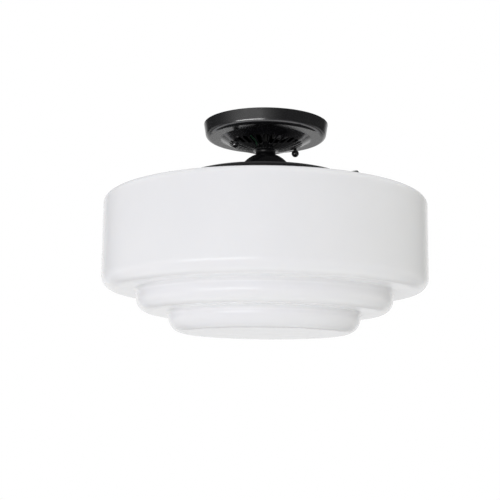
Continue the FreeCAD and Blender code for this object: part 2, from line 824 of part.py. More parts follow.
os.makedirs("parts", exist_ok=True)
save("crossbar", [crossbar()])
save("crossbar_studs", crossbar_studs())
save("stud_nuts", stud_nuts())
save("earth_screw", [earth_screw()])
save("terminal_block", [terminal_block()])
save("terminal_screws", terminal_screws())
save("canopy", [canopy()])
save("ball_nut_right", [ball_nut(1)])
save("ball_nut_left", [ball_nut(-1)])
save("stem", [stem()])
save("stem_washer", [ring(washer_radius, stem_hole_radius, canopy_floor_inside, washer_top)])
save("earth_lug", [earth_lug()])
save("stem_nut", [hex_nut(nut_flats, stem_radius + thread_play, lug_top, top_nut_top)])
save("neck_ring", [neck_ring()])
save("dome_cap", [dome_cap()])
save("gallery", [gallery()])
save("gallery_bushes", gallery_bushes())
for screw_name, screw_azimuth in zip(screw_names, screw_azimuths):
    save(screw_name, [thumbscrew(screw_azimuth)])
save("gallery_washer", [ring(washer_radius, stem_hole_radius, gallery_washer_foot, gallery_underside)])
save("gallery_nut", [hex_nut(gallery_nut_flats, stem_radius + thread_play, gallery_nut_foot,
                             gallery_washer_foot)])
save("glass_shade", [glass_shade()])
save("lampholder_cap", [holder_cap()])
save("lampholder_base", [holder_base()])
save("lampholder_terminals", holder_terminals())
save("lampholder_sleeve", [holder_sleeve()])
save("screw_shell", [screw_shell()])
save("centre_contact", [centre_contact()])
save("lamp_tip", [lamp_tip()])
save("lamp_insulator", [lamp_insulator()])
save("lamp_cap", [lamp_cap()])
save("lamp_globe", [lamp_globe()])
save("live_wire", [supply_wire(1)])
save("neutral_wire", [supply_wire(-1)])
save("earth_wire", [earth_wire()])
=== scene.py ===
import json
import math
import bmesh
import bpy
import numpy as np
from mathutils import Matrix, Vector

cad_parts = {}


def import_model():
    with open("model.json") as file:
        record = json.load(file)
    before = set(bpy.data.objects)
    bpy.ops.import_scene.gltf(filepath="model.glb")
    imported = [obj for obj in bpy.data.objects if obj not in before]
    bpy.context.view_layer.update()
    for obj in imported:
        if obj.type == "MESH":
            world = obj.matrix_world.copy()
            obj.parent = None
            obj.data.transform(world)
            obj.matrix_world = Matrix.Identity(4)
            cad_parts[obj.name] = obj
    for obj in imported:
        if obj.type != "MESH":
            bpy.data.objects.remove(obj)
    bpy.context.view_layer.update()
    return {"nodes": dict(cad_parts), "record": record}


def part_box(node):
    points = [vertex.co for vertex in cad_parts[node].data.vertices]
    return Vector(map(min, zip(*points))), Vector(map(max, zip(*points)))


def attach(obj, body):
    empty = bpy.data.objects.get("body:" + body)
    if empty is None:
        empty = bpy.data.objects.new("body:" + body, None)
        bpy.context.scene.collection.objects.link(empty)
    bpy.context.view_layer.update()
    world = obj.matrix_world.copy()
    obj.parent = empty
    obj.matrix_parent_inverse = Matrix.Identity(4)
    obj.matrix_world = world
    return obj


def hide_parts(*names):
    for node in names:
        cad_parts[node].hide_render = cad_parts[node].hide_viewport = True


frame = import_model()
nodes = frame["nodes"]

# Sizes in metres. What the frame holds is read from it.

MM = 0.001
smooth_angle = math.radians(32)
soften_angle = math.radians(50)
arc_step = math.radians(6)
merge_distance = 1e-7
thread_steps = 6

glass_low, glass_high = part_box("glass_shade")
shade_radius = glass_high.x
shade_foot = glass_low.z
lip_top = glass_high.z
glass_wall = 4.0 * MM
drum_top = lip_top - 24.1 * MM
drum_foot = drum_top - 117.7 * MM
drum_corner = 17.0 * MM
middle_radius = 159.6 * MM
middle_foot = drum_foot - 26.4 * MM
middle_corner = 16.2 * MM
lower_radius = 119.5 * MM
lower_corner = 19.6 * MM
step_radius = 4.5 * MM
shoulder_reach = 16.2 * MM
shoulder_rise = 10.7 * MM
crown_slope = math.radians(4.0)
neck_radius = 99.0 * MM
root_radius = 4.0 * MM
lip_radius = 101.6 * MM
lip_face = 1.5 * MM
lip_slope_height = 3.8 * MM
lip_edge = 0.6 * MM

canopy_low, canopy_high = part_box("canopy")
canopy_radius = canopy_high.x
canopy_floor = canopy_low.z
canopy_sheet = 1.0 * MM
canopy_wall_depth = 18.4 * MM
canopy_wall_lean = 3.0 * MM
canopy_edge = 6.5 * MM
canopy_crease = 4.0 * MM
canopy_dome_radius = 108.0 * MM
canopy_flat_radius = 13.5 * MM
bar_azimuth = math.radians(30.0)
vent_count = 30
vent_share = 0.74
vent_inner = 16.0 * MM
vent_outer = 47.0 * MM

stem_low, stem_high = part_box("stem")
stem_radius = 5.14 * MM
stem_bore = 3.6 * MM
stem_hole = 5.34 * MM
stem_pitch = 0.94 * MM
stem_thread = 0.4 * MM
stud_radius = 2.08 * MM
stud_reach = 44.45 * MM
stud_pitch = 0.79 * MM
stud_thread = 0.3 * MM
ball_radius = 4.76 * MM

neck_height = 5.2 * MM
neck_foot = canopy_floor - neck_height
dome_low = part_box("dome_cap")[0]
dome_radius = 37.0 * MM
dome_sheet = 1.2 * MM
dome_skirt = 1.0 * MM
gallery_low, gallery_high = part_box("gallery")
gallery_radius = 107.0 * MM
gallery_sheet = 1.2 * MM
gallery_corner = 3.0 * MM
gallery_bead = 1.2 * MM

screw_height = gallery_high.z - 7.9 * MM
screw_azimuths = {"right": -33.0, "back": 87.0, "left": 207.0}
screw_tip = 100.18 * MM
screw_radius = 2.08 * MM
screw_shank = 22.0 * MM
screw_head = 10.0 * MM
screw_head_radius = 5.5 * MM
screw_collar = 1.5 * MM
screw_collar_radius = 3.6 * MM
screw_pitch = 0.79 * MM
screw_thread = 0.3 * MM

globe_low, globe_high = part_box("lamp_globe")
cap_low, cap_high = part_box("lamp_cap")
globe_wall = 0.8 * MM
shell_low, shell_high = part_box("screw_shell")
lamp_cap_radius = 13.0 * MM
lamp_pitch = 3.63 * MM


# Paths and surfaces

def outline(corners, step=4.0 * MM):
    """Points (r, z) of a path: straight runs, divided at about step, joined by arcs
    that are tangent to both. Each corner is (r, z, arc radius)."""
    points = [np.array(corners[0][:2])]

    def run_to(end):
        count = max(1, int(np.linalg.norm(end - points[-1]) / step))
        start = points[-1]
        for k in range(1, count + 1):
            points.append(start + (end - start) * k / count)

    for before, corner, after in zip(corners, corners[1:], corners[2:]):
        tip = np.array(corner[:2])
        back = np.array(before[:2]) - tip
        ahead = np.array(after[:2]) - tip
        back = back / np.linalg.norm(back)
        ahead = ahead / np.linalg.norm(ahead)
        if corner[2] <= 0:
            run_to(tip)
            continue
        half = math.acos(np.clip(back @ ahead, -1, 1)) / 2
        leg = corner[2] / math.tan(half)
        middle = (back + ahead) / np.linalg.norm(back + ahead)
        centre = tip + middle * corner[2] / math.sin(half)
        run_to(tip + back * leg)
        turn = math.pi - 2 * half
        steps = max(4, int(turn / arc_step))
        start = tip + back * leg - centre
        sign = 1 if back[0] * ahead[1] - back[1] * ahead[0] < 0 else -1
        for k in range(1, steps + 1):
            angle = sign * turn * k / steps
            cosine, sine = math.cos(angle), math.sin(angle)
            points.append(centre + np.array([[cosine, -sine], [sine, cosine]]) @ start)
    run_to(np.array(corners[-1][:2]))
    return np.array(points)


def piece_from(name, points, faces, material, body, slot, replaced):
    """One closed piece of the light from arrays of points and faces. Doubles at seams
    and poles are merged and faces are turned outwards."""
    mesh = bpy.data.meshes.new(name)
    mesh.from_pydata(points.reshape(-1, 3).tolist(), [], faces.tolist())
    work = bmesh.new()
    work.from_mesh(mesh)
    bmesh.ops.remove_doubles(work, verts=work.verts, dist=merge_distance)
    bmesh.ops.recalc_face_normals(work, faces=work.faces)
    work.to_mesh(mesh)
    work.free()
    mesh.polygons.foreach_set("use_smooth", [True] * len(mesh.polygons))
    mesh.set_sharp_from_angle(angle=smooth_angle)
    mesh.materials.append(material)
    piece = bpy.data.objects.new(name, mesh)
    bpy.context.scene.collection.objects.link(piece)
    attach(piece, body)
    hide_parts(*replaced)
    return piece


def grid_faces(rows, columns, closed):
    """Quads of a rows by columns grid. Its columns are joined round, and if it is
    closed, the last row is joined to the first."""
    i, j = np.meshgrid(np.arange(rows if closed else rows - 1), np.arange(columns), indexing="ij")
    down, across = (i + 1) % rows, (j + 1) % columns
    quads = np.stack([i * columns + j, i * columns + across,
                      down * columns + across, down * columns + j], -1)
    return quads.reshape(-1, 4)


def on_turn(r, z, angle, centre=(0.0, 0.0)):
    """Points of an upright turn about centre: x = cx + r cos a, y = cy + r sin a, and
    z stays."""
    x = centre[0] + r * np.cos(angle)
    return np.stack([x, centre[1] + r * np.sin(angle), z + 0 * angle], -1)


def turned_piece(name, path, columns, material, body, slot, replaced, centre=(0.0, 0.0)):
    """A path (r, z) turned about an upright axis through centre. A path that starts on
    the axis also ends on it. Any other path is joined round, end to start."""
    angle = np.linspace(0, 2 * math.pi, columns, endpoint=False)
    grid = on_turn(path[:, :1], path[:, 1:], angle, centre)
    faces = grid_faces(len(path), columns, path[0][0] > merge_distance)
    piece_from(name, grid, faces, material, body, slot, replaced)


def thread_depth(angle, along, pitch, depth):
    """A V thread: the radius falls by up to depth, as a triangle wave of the height
    less the turn."""
    phase = along / pitch - angle / (2 * math.pi)
    return depth * np.abs(2 * (phase - np.floor(phase)) - 1)


# Materials, all worked out by nodes on Object coordinates

noise_low, noise_high = 0.3, 0.7


def new_material(name):
    """A material with its node tree and its main shader."""
    material = bpy.data.materials.new(name)
    material.use_nodes = True
    return material, material.node_tree, material.node_tree.nodes["Principled BSDF"]


def noise(tree, scale, detail=3.0):
    """Cloudy noise, scale in cells per metre."""
    point = tree.nodes.new("ShaderNodeTexCoord")
    cloud = tree.nodes.new("ShaderNodeTexNoise")
    cloud.inputs["Scale"].default_value = scale
    cloud.inputs["Detail"].default_value = detail
    tree.links.new(point.outputs["Object"], cloud.inputs["Vector"])
    return cloud.outputs["Fac"]


def mapped(tree, value, start, end, first, last):
    """A node that turns the span from start to end into first to last, and stays at
    them beyond."""
    span = tree.nodes.new("ShaderNodeMapRange")
    names = ("From Min", "From Max", "To Min", "To Max")
    for name, number in zip(names, (start, end, first, last)):
        span.inputs[name].default_value = number
    tree.links.new(value, span.inputs["Value"])
    return span


def worked(tree, operation, *values):
    """What one Math node gives. Each value is a socket or a number."""
    node = tree.nodes.new("ShaderNodeMath")
    node.operation = operation
    for socket, value in zip(node.inputs, values):
        if isinstance(value, float):
            socket.default_value = value
        else:
            tree.links.new(value, socket)
    return node.outputs[0]


def colour_between(tree, shader, value, first, second):
    """The base colour runs from first to second with the value."""
    ramp = tree.nodes.new("ShaderNodeValToRGB")
    ramp.color_ramp.elements[0].color = (*first, 1)
    ramp.color_ramp.elements[1].color = (*second, 1)
    ramp.color_ramp.elements[0].position = noise_low
    ramp.color_ramp.elements[1].position = noise_high
    tree.links.new(value, ramp.inputs["Fac"])
    tree.links.new(ramp.outputs["Color"], shader.inputs["Base Color"])


def roughness_between(tree, shader, value, low, high):
    """The roughness runs from low to high with the value."""
    span = mapped(tree, value, noise_low, noise_high, low, high)
    tree.links.new(span.outputs["Result"], shader.inputs["Roughness"])


def bump_from(tree, shader, value, distance, strength):
    """The surface seems to rise and fall by distance with the value."""
    bump = tree.nodes.new("ShaderNodeBump")
    bump.inputs["Distance"].default_value = distance
    bump.inputs["Strength"].default_value = strength
    tree.links.new(value, bump.inputs["Height"])
    tree.links.new(bump.outputs["Normal"], shader.inputs["Normal"])


def painted_light_near(tree, shader, places, gain):
    """Painted light: the base colour is multiplied by 1 + gain at the height of each place, and by
    less the further a point is above or below it, down to 1 at the place's reach, so that the shade
    that falls there is lifted."""
    point = tree.nodes.new("ShaderNodeTexCoord")
    split = tree.nodes.new("ShaderNodeSeparateXYZ")
    tree.links.new(point.outputs["Object"], split.inputs["Vector"])
    factor = 1.0
    for height, reach in places:
        away = worked(tree, "ABSOLUTE", worked(tree, "SUBTRACT", split.outputs["Z"], height))
        span = mapped(tree, away, 0.0, reach, 1 + gain, 1.0)
        span.interpolation_type = "SMOOTHSTEP"
        factor = worked(tree, "MULTIPLY", factor, span.outputs["Result"])
    scaled = tree.nodes.new("ShaderNodeVectorMath")
    scaled.operation = "SCALE"
    colour = shader.inputs["Base Color"].links[0].from_socket
    tree.links.new(colour, scaled.inputs[0])
    tree.links.new(factor, scaled.inputs["Scale"])
    tree.links.new(scaled.outputs[0], shader.inputs["Base Color"])


def opal_glass():
    """Glossy milk glass, a little deeper in cloudy places, with the slow waves of blown glass. Its
    colour is painted whiter at the two steps and at the turn of the foot: painted light that lifts
    the shade in these places."""
    material, tree, shader = new_material("opal_glass")
    colour_between(tree, shader, noise(tree, 7.0), (0.853, 0.850, 0.876), (0.883, 0.880, 0.904))
    # painted light: whiter bands at the two step hollows and at the foot's turn lift the shade
    # there
    painted_light_near(tree, shader, ((drum_foot, 7.5 * MM), (middle_foot, 7.5 * MM),
                               (shade_foot + 1.4 * MM, 2.0 * MM)), 0.1)
    roughness_between(tree, shader, noise(tree, 25.0), 0.11, 0.15)
    bump_from(tree, shader, noise(tree, 16.0, 1.0), 0.5 * MM, 0.5)
    shader.inputs["Subsurface Weight"].default_value = 0.5
    shader.inputs["Subsurface Radius"].default_value = (1.0, 0.95, 0.9)
    shader.inputs["Subsurface Scale"].default_value = 6.0 * MM
    return material


def coated(name, first, second, low, high, grain, depth, gloss=0.5, ior=1.5):
    """Paint or plastic: two near colours, a varying sheen and a fine grain."""
    material, tree, shader = new_material(name)
    colour_between(tree, shader, noise(tree, 40.0), first, second)
    roughness_between(tree, shader, noise(tree, 90.0), low, high)
    bump_from(tree, shader, noise(tree, grain, 2.0), depth, 0.6)
    shader.inputs["Specular IOR Level"].default_value = gloss
    shader.inputs["IOR"].default_value = ior
    return material


def metal(name, first, second, low, high):
    """Bare or plated metal with a cloudy variation of its sheen."""
    material, tree, shader = new_material(name)
    cloud = noise(tree, 300.0, 4.0)
    colour_between(tree, shader, noise(tree, 60.0), first, second)
    roughness_between(tree, shader, cloud, low, high)
    bump_from(tree, shader, cloud, 0.02 * MM, 0.4)
    shader.inputs["Metallic"].default_value = 1.0
    return material


def frosted_glass():
    """The lamp's milky coated envelope."""
    material, tree, shader = new_material("frosted_glass")
    colour_between(tree, shader, noise(tree, 30.0), (0.80, 0.80, 0.77), (0.86, 0.86, 0.83))
    roughness_between(tree, shader, noise(tree, 200.0), 0.28, 0.36)
    shader.inputs["Subsurface Weight"].default_value = 0.3
    shader.inputs["Subsurface Radius"].default_value = (1.0, 1.0, 0.95)
    shader.inputs["Subsurface Scale"].default_value = 3.0 * MM
    return material


def materials():
    """One material for each of the record's slots, and fitter_black, a duller black
    coat for the fitter below the canopy."""
    coat_colours = (0.004, 0.004, 0.005), (0.006, 0.006, 0.007)
    return {
        "opal_glass": opal_glass(),
        "frosted_glass": frosted_glass(),
        "black_coat": coated("black_coat", *coat_colours, 0.16, 0.22, 1400.0, 0.004 * MM, 1.0, 1.8),
        "fitter_black": coated("fitter_black", *coat_colours, 0.18, 0.26, 1400.0, 0.004 * MM),
        "zinc_steel": metal("zinc_steel", (0.52, 0.53, 0.52), (0.66, 0.66, 0.64), 0.26, 0.42),
        "black_steel": metal("black_steel", (0.030, 0.030, 0.031), (0.050, 0.050, 0.052),
                             0.30, 0.44),
        "brass": metal("brass", (0.62, 0.44, 0.18), (0.74, 0.55, 0.25), 0.2, 0.34),
        "lamp_metal": metal("lamp_metal", (0.66, 0.66, 0.65), (0.76, 0.76, 0.74), 0.2, 0.32),
        "earth_green": metal("earth_green", (0.04, 0.26, 0.09), (0.07, 0.34, 0.13), 0.3, 0.42),
        "porcelain": coated("porcelain", (0.74, 0.73, 0.68), (0.80, 0.79, 0.75),
                            0.08, 0.14, 120.0, 0.05 * MM),
        "block_plastic": coated("block_plastic", (0.020, 0.020, 0.022), (0.030, 0.030, 0.032),
                                0.38, 0.5, 900.0, 0.03 * MM),
        "black_insulator": coated("black_insulator", (0.012, 0.012, 0.014), (0.02, 0.018, 0.02),
                                  0.1, 0.18, 400.0, 0.02 * MM),
        "black_wire": coated("black_wire", (0.014, 0.014, 0.014), (0.022, 0.022, 0.022),
                             0.35, 0.5, 1500.0, 0.02 * MM),
        "green_wire": coated("green_wire", (0.008, 0.050, 0.020), (0.012, 0.070, 0.030),
                             0.35, 0.5, 1500.0, 0.02 * MM),
    }


finishes = materials()


def paint_frame():
    """Every CAD node that stays takes the finish of its own slot."""
    for entry in frame["record"]["subparts"]:
        mesh = nodes[entry["node"]].data
        mesh.materials.clear()
        mesh.materials.append(finishes[entry["material_slot"]])


# Glass shade

def shade_face(inset):
    """Points of one face of the glass from the neck to the axis, moved inwards by
    inset. The shoulder is a part of an ellipse, (reach cos a, rise sin a) from its
    centre, and meets the sloping crown where its slope is the same."""
    wall = shade_radius - inset
    reach, rise = shoulder_reach - inset, shoulder_rise - inset
    centre = np.array([wall - reach, drum_top - inset - rise])
    crown_angle = math.atan2(rise / reach, math.tan(crown_slope))
    angle = np.linspace(crown_angle, 0, 16)
    shoulder = centre + np.stack([reach * np.cos(angle), rise * np.sin(angle)], -1)
    neck = neck_radius - inset
    root = shoulder[0][1] + (shoulder[0][0] - neck) * math.tan(crown_slope)
    slope_foot = lip_top - lip_face - lip_slope_height
    crown = outline([(neck, slope_foot, 0), (neck, root, root_radius + inset), (*shoulder[0], 0)])
    tiers = outline([(*shoulder[-1], 0), (wall, drum_foot + inset, drum_corner - inset),
                     (middle_radius - inset, drum_foot + inset, step_radius + inset),
                     (middle_radius - inset, middle_foot + inset, middle_corner - inset),
                     (lower_radius - inset, middle_foot + inset, step_radius + inset),
                     (lower_radius - inset, shade_foot + inset, lower_corner - inset),
                     (0, shade_foot + inset, 0)])
    return np.concatenate([crown, shoulder[1:-1], tiers])


def shade():
    """The blown shade as one closed shell, from the axis inside, over the lip, to the
    axis outside."""
    slope_foot = lip_top - lip_face - lip_slope_height
    bore = neck_radius - glass_wall
    lip = outline([(bore, slope_foot, 0), (bore, lip_top, lip_edge),
                   (lip_radius, lip_top, lip_edge), (lip_radius, lip_top - lip_face, lip_edge),
                   (neck_radius, slope_foot, 0)], 1.0 * MM)
    path = np.concatenate([shade_face(glass_wall)[::-1], lip[1:-1], shade_face(0)])
    turned_piece("opal_shade", path, 240, finishes["opal_glass"], "shade", "opal_glass",
                 ["glass_shade"])


# Canopy

def dome_height(radius, inset):
    """Height of the canopy's domed underside, z = c - sqrt(R^2 - r^2), a sphere
    centred on the axis."""
    centre = canopy_floor + math.sqrt(canopy_dome_radius ** 2 - canopy_flat_radius ** 2)
    return centre - np.sqrt((canopy_dome_radius - inset) ** 2 - radius ** 2)


def canopy_face(inset):
    """Points of one face of the canopy's sheet from the ceiling to the vents' outer
    ends: wall, rounded edge, flat ring, crease and the start of the dome."""
    lean = canopy_wall_lean / canopy_wall_depth
    wall_inset = inset * math.sqrt(1 + lean ** 2)
    ring = inset - canopy_wall_depth
    sphere = canopy_floor + math.sqrt(canopy_dome_radius ** 2 - canopy_flat_radius ** 2)
    crease = canopy_crease + inset
    reach = math.sqrt((canopy_dome_radius + canopy_crease) ** 2 - (sphere - ring + crease) ** 2)
    wall = outline([(canopy_radius - wall_inset, 0, 0),
                    (canopy_radius - wall_inset + lean * ring, ring, canopy_edge - inset),
                    (reach, ring, 0)], 2.0 * MM)
    centre = np.array([reach, ring - crease])
    last = math.atan2(sphere - centre[1], -reach)
    angle = np.linspace(math.pi / 2, last, 7)
    bend = centre + crease * np.stack([np.cos(angle), np.sin(angle)], -1)
    return np.concatenate([wall, bend[1:]])


def canopy_rows(inset, count):
    """The face as rows, with the same number of rows for both faces of the sheet."""
    face = canopy_face(inset)
    along = np.concatenate([[0], np.cumsum(np.linalg.norm(np.diff(face, axis=0), axis=1))])
    even = np.linspace(0, along[-1], count)
    return np.stack([np.interp(even, along, face[:, k]) for k in (0, 1)], -1)


def canopy():
    """The pressed cover: rows from the ceiling to the stem hole, columns that follow
    the sides of the vent slots. The cells of the slots are left out, and each free
    edge gets a wall between the two faces of the sheet. Slot ends are rounded: the
    end row moves into the slot by w (1 - sqrt(1 - t^2)), with t from -1 to 1 across
    the slot and w four fifths of its half width. The two slots on the line of the
    ball nuts are missing."""
    pitch = 2 * math.pi / vent_count
    half = pitch * vent_share / 2
    across = np.array([-1.0, -0.85, -0.5, 0.0, 0.5, 0.85, 1.0])
    offsets = np.concatenate([across * half, [pitch / 2]])
    angle = np.concatenate([bar_azimuth + k * pitch + offsets for k in range(vent_count)])
    slot_t = np.tile(np.concatenate([across, [1.0]]), vent_count)
    slotted = np.repeat([k % (vent_count // 2) != 0 for k in range(vent_count)], len(offsets))
    outer_rows = 64
    end_rounding = 0.8
    slot_rows = np.linspace(vent_outer, vent_inner, 12)
    inner_rows = np.array([14.6 * MM, canopy_flat_radius, 11.0 * MM, stem_hole])
    faces_of_sheet = []
    for inset in (0.0, canopy_sheet):
        rows = canopy_rows(inset, outer_rows)
        start = rows[-1][0]
        between = np.linspace(start, vent_outer, 6)[1:-1]
        radius = np.concatenate([between, slot_rows, inner_rows])
        radius = np.repeat(radius[:, None], len(angle), 1)
        curve = 1 - np.sqrt(1 - np.minimum(slot_t ** 2, 1))
        first, last = len(between), len(between) + len(slot_rows) - 1
        for row, sign in ((first, -1), (last, 1)):
            radius[row] += np.where(slotted, sign * radius[row] * half * curve * end_rounding, 0)
        height = np.maximum(dome_height(radius, inset), canopy_floor + inset)
        r = np.concatenate([np.repeat(rows[:, :1], len(angle), 1), radius])
        z = np.concatenate([np.repeat(rows[:, 1:], len(angle), 1), height])
        faces_of_sheet.append(np.stack([r * np.cos(angle), r * np.sin(angle), z], -1))
    rows_in_all, columns = faces_of_sheet[0].shape[:2]
    solid = np.ones((rows_in_all - 1, columns), bool)
    hole_first = outer_rows + first
    hole_last = outer_rows + last
    in_slot = np.tile(np.arange(len(offsets)) < len(across) - 1, vent_count) & slotted
    solid[hole_first:hole_last, :] = ~in_slot
    index = np.arange(rows_in_all * columns).reshape(rows_in_all, columns)
    faces = []
    i, j = np.nonzero(solid)
    k = (j + 1) % columns
    for shift in (0, index.size):
        cells = np.stack([index[i, j], index[i, k], index[i + 1, k], index[i + 1, j]], -1)
        faces.append(cells + shift)
    padded = np.vstack([np.zeros((1, columns), bool), solid, np.zeros((1, columns), bool)])
    i, j = np.nonzero(padded[1:] != padded[:-1])
    k = (j + 1) % columns
    faces.append(np.stack([index[i, j], index[i, k], index[i, k] + index.size,
                           index[i, j] + index.size], -1))
    i, j = np.nonzero(solid != np.roll(solid, 1, 1))
    faces.append(np.stack([index[i, j], index[i + 1, j], index[i + 1, j] + index.size,
                           index[i, j] + index.size], -1))
    piece = piece_from("vented_canopy", np.stack(faces_of_sheet), np.concatenate(faces),
                       finishes["black_coat"], "fixture", "black_coat", ["canopy"])
    drop_loose(piece.data)
    soften(piece, 0.35 * MM, 3)


def drop_loose(mesh):
    """Deletes the grid points inside the slots, which no face uses."""
    work = bmesh.new()
    work.from_mesh(mesh)
    bmesh.ops.delete(work, geom=[v for v in work.verts if not v.link_faces], context="VERTS")
    work.to_mesh(mesh)
    work.free()


def soften(piece, width, segments):
    """A narrow rounding of the sharp edges."""
    bevel = piece.modifiers.new("soft_edges", "BEVEL")
    bevel.width = width
    bevel.segments = segments
    bevel.limit_method = "ANGLE"
    bevel.angle_limit = soften_angle
    bevel.harden_normals = True


# Fitter: neck ring, domed cap, gallery, ball nuts, thumbscrews

def neck_ring():
    """A waisted ring: its side is an arc of a circle that bows inwards."""
    end, waist = 13.6 * MM, 12.6 * MM
    height = canopy_floor - neck_foot
    t = np.linspace(-1, 1, 24)
    side = np.stack([end - (end - waist) * (1 - t ** 2), canopy_floor - height * (t + 1) / 2], -1)
    path = np.concatenate([side, [[stem_hole, neck_foot], [stem_hole, canopy_floor]]])
    turned_piece("waisted_neck", path, 128, finishes["fitter_black"], "fixture", "black_coat",
                 ["neck_ring"])


def domed_cap():
    """Half a ball with a flat crown, as a sheet of even thickness."""
    foot = dome_low.z
    centre = foot - dome_skirt
    sides = []
    for inset in (0.0, dome_sheet):
        radius, crown = dome_radius - inset, neck_foot - inset
        first = math.asin((crown - centre) / radius)
        last = math.asin(dome_skirt / radius)
        angle = np.linspace(first, last, 48)
        arc = np.stack([radius * np.cos(angle), centre + radius * np.sin(angle)], -1)
        sides.append(np.concatenate([[[stem_hole, crown]], arc]))
    path = np.concatenate([sides[0], sides[1][::-1]])
    turned_piece("domed_holder_cap", path, 160, finishes["fitter_black"], "fixture", "black_coat",
                 ["dome_cap"])


def gallery():
    """The pan over the glass neck, with its skirt and rolled bead."""
    top, low = gallery_high.z, gallery_low.z
    inner = gallery_radius - gallery_sheet
    bead_reach = gallery_radius - gallery_sheet / 2
    bead_height = low + gallery_bead
    lift = math.acos(gallery_sheet / 2 / gallery_bead)
    angle = np.linspace(lift, lift - 2 * math.pi + (math.pi - 2 * lift), 22)
    circle = np.stack([np.cos(angle), np.sin(angle)], -1)
    bead = np.array([bead_reach, bead_height]) + gallery_bead * circle
    outside = outline([(stem_hole, top, 0), (gallery_radius, top, gallery_corner), (*bead[0], 0)])
    inside = outline([(*bead[-1], 0), (inner, top - gallery_sheet, gallery_corner - gallery_sheet),
                      (stem_hole, top - gallery_sheet, 0)])
    path = np.concatenate([outside, bead[1:-1], inside])
    turned_piece("gallery_pan", path, 240, finishes["fitter_black"], "fixture", "black_coat",
                 ["gallery"])


def stud_centre(sign):
    """Where a stud stands on the line of the crossbar, on the side of the sign."""
    reach = sign * stud_reach
    return reach * math.cos(bar_azimuth), reach * math.sin(bar_azimuth)


def ball_nuts():
    """Round nuts with a blind bore, open upwards."""
    bore = stud_radius + 0.3 * MM
    bore_drop = 2.4 * MM
    for side, sign in (("right", 1), ("left", -1)):
        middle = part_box("ball_nut_" + side)[0].z + ball_radius
        first = math.acos(bore / ball_radius)
        angle = np.linspace(first, -math.pi / 2, 40)
        ball = np.stack([ball_radius * np.cos(angle), middle + ball_radius * np.sin(angle)], -1)
        ball[-1, 0] = 0
        bore_foot = middle - bore_drop
        path = np.concatenate([[[0, bore_foot], [bore, bore_foot]], ball])
        turned_piece("round_nut_" + side, path, 64, finishes["black_coat"], "ball_" + side,
                     "black_coat", ["ball_nut_" + side], stud_centre(sign))


def thumbscrews():
    """Each screw is a profile (distance from the axis of the light, radius) turned
    about its own level axis. The shank has a V thread, and the grip's radius falls
    by d (0.5 - 0.5 cos n a)^3 round it, which cuts n flutes of depth d."""
    flutes, flute_depth = 16, 0.6 * MM
    chamfer, rim, dish = 0.6 * MM, 1.6 * MM, 0.4 * MM
    shank_end = screw_tip + screw_shank
    end = shank_end + screw_head
    grip = shank_end + screw_collar
    point_radius, point_end = 0.6 * screw_radius, screw_tip + 0.8 * MM
    thread_start, thread_end = screw_tip + 0.9 * MM, shank_end - 2 * MM
    stations = [(screw_tip, 0), (screw_tip, point_radius), (point_end, screw_radius)]
    thread_rows = np.arange(thread_start, thread_end, screw_pitch / thread_steps)
    stations += [(x, screw_radius) for x in thread_rows]
    stations += [(shank_end, screw_radius), (shank_end, screw_collar_radius),
                 (grip, screw_collar_radius), (grip, screw_head_radius - chamfer)]
    grip_rows = np.linspace(grip + chamfer, end - chamfer, 8)
    stations += [(x, screw_head_radius) for x in grip_rows]
    stations += [(end, screw_head_radius - chamfer), (end - dish, screw_head_radius - rim),
                 (end - dish, 0)]
    x, radius = np.array(stations).T
    columns = 160
    angle = np.linspace(0, 2 * math.pi, columns, endpoint=False)[None, :]
    x, radius = x[:, None], radius[:, None]
    on_thread = (x >= thread_rows[0]) & (x <= thread_rows[-1])
    cut = np.where(on_thread, thread_depth(angle, x, screw_pitch, screw_thread), 0)
    gripped = (x >= grip) & (radius > screw_collar_radius)
    cut = cut + np.where(gripped, flute_depth * (0.5 - 0.5 * np.cos(flutes * angle)) ** 3, 0)
    radius = np.maximum(radius - cut, 0)
    grid = np.stack([x + 0 * angle, radius * np.cos(angle), radius * np.sin(angle)], -1)
    faces = grid_faces(len(stations), columns, False)
    for side, azimuth in screw_azimuths.items():
        turn = math.radians(azimuth)
        spun = np.stack([grid[..., 0] * math.cos(turn) - grid[..., 1] * math.sin(turn),
                         grid[..., 0] * math.sin(turn) + grid[..., 1] * math.cos(turn),
                         grid[..., 2] + screw_height], -1)
        piece_from("knurled_screw_" + side, spun, faces, finishes["black_coat"], "screw_" + side,
                   "black_coat", ["thumbscrew_" + side])


# Threaded rods

def threaded(radius, low, high, pitch, depth, columns, bore=0.0, centre=(0.0, 0.0)):
    """Grid of an upright rod, or of a tube if it has a bore. Its V thread is cut
    between chamfered ends."""
    z = np.arange(low + pitch, high - pitch, pitch / thread_steps)
    z = np.concatenate([[low, low, low + pitch / 2], z, [high - pitch / 2, high, high]])
    r = np.full(len(z), radius)
    r[[0, -1]] = bore
    r[[1, -2]] = radius - depth
    angle = np.linspace(0, 2 * math.pi, columns, endpoint=False)[None, :]
    z, r = z[:, None], r[:, None]
    inner = (np.arange(len(z)) > 2)[:, None] & (np.arange(len(z)) < len(z) - 3)[:, None]
    r = r - np.where(inner, thread_depth(angle, z, pitch, depth), 0)
    return on_turn(r, z, angle, centre)


def rods():
    """The hollow stem, and the two studs as one piece."""
    stem_columns, stud_columns = 40, 24
    grid = threaded(stem_radius, stem_low.z, stem_high.z, stem_pitch, stem_thread, stem_columns,
                    stem_bore)
    faces = grid_faces(len(grid), stem_columns, True)
    piece_from("threaded_stem", grid, faces, finishes["black_steel"], "fixture", "black_steel",
               ["stem"])
    low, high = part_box("crossbar_studs")
    points, faces = [], []
    for sign in (1, -1):
        grid = threaded(stud_radius, low.z, high.z, stud_pitch, stud_thread, stud_columns, 0.0,
                        stud_centre(sign))
        faces.append(grid_faces(len(grid), stud_columns, False) + sum(map(len, points)))
        points.append(grid.reshape(-1, 3))
    piece_from("threaded_studs", np.concatenate(points), np.concatenate(faces),
               finishes["black_steel"], "fixture", "black_steel", ["crossbar_studs"])


# Lamp and screw shell

